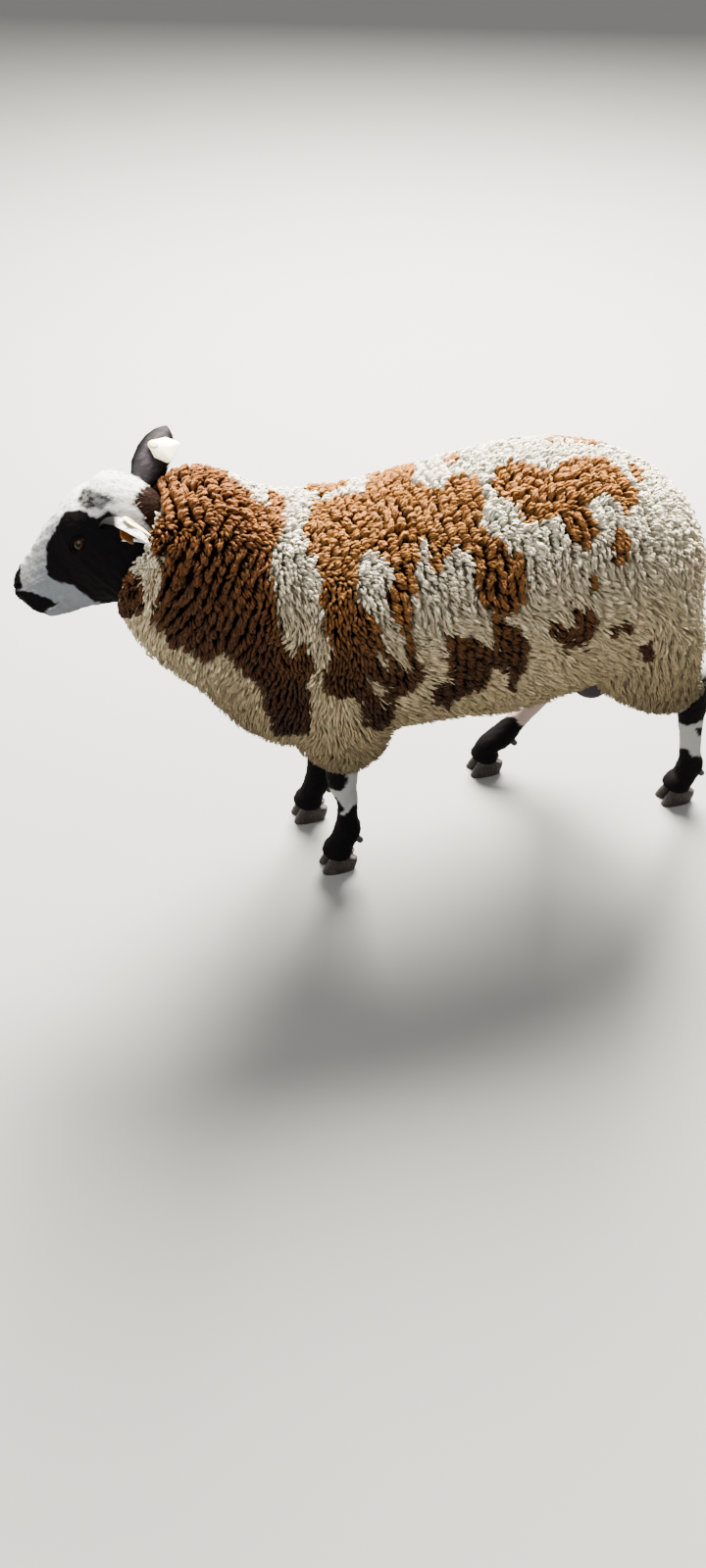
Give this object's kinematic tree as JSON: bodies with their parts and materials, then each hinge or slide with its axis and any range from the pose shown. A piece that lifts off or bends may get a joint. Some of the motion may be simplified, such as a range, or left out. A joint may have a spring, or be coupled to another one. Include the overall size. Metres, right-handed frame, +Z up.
{
  "type": "dutch spotted ram",
  "caption": "Life-size standing spotted ram in a brown and white clumped fleece, with a black and white face, black legs and pale yellow ear tags.",
  "frame": {"origin": "on the ground, below the middle of the ram's box", "axes": "-X to the ram's nose, -Y to its left side, +Z up"},
  "size_m": [1.178, 0.4496, 0.8177],
  "materials": {
    "fleece": "matte, woolly",
    "brown_fleece": "matte, woolly",
    "short_hair": "short smooth hair",
    "black_hair": "short smooth hair",
    "hoof_horn": "dull horn",
    "eye": "wet gloss",
    "tag_plastic": "satin"
  },
  "bodies": {
    "root": {"torso": "fleece", "neck": "brown_fleece", "tail": "fleece", "shoulder_left": "fleece", "shoulder_right": "fleece", "thigh_left": "fleece", "thigh_right": "fleece", "scrotum": "fleece", "sheath": "fleece", "head": "short_hair", "ear_left": "black_hair", "ear_right": "black_hair", "eye_left": "eye", "eye_right": "eye", "tag_left_back": "tag_plastic", "tag_left_front": "tag_plastic", "tag_right_back": "tag_plastic", "tag_right_front": "tag_plastic", "foreleg_left": "black_hair", "foreleg_left_claw_inner": "hoof_horn", "foreleg_left_dewclaw_inner": "hoof_horn", "foreleg_left_claw_outer": "hoof_horn", "foreleg_left_dewclaw_outer": "hoof_horn", "foreleg_right": "black_hair", "foreleg_right_claw_inner": "hoof_horn", "foreleg_right_dewclaw_inner": "hoof_horn", "foreleg_right_claw_outer": "hoof_horn", "foreleg_right_dewclaw_outer": "hoof_horn", "hindleg_left": "black_hair", "hindleg_left_claw_inner": "hoof_horn", "hindleg_left_dewclaw_inner": "hoof_horn", "hindleg_left_claw_outer": "hoof_horn", "hindleg_left_dewclaw_outer": "hoof_horn", "hindleg_right": "black_hair", "hindleg_right_claw_inner": "hoof_horn", "hindleg_right_dewclaw_inner": "hoof_horn", "hindleg_right_claw_outer": "hoof_horn", "hindleg_right_dewclaw_outer": "hoof_horn"}
  },
  "joints": []
}
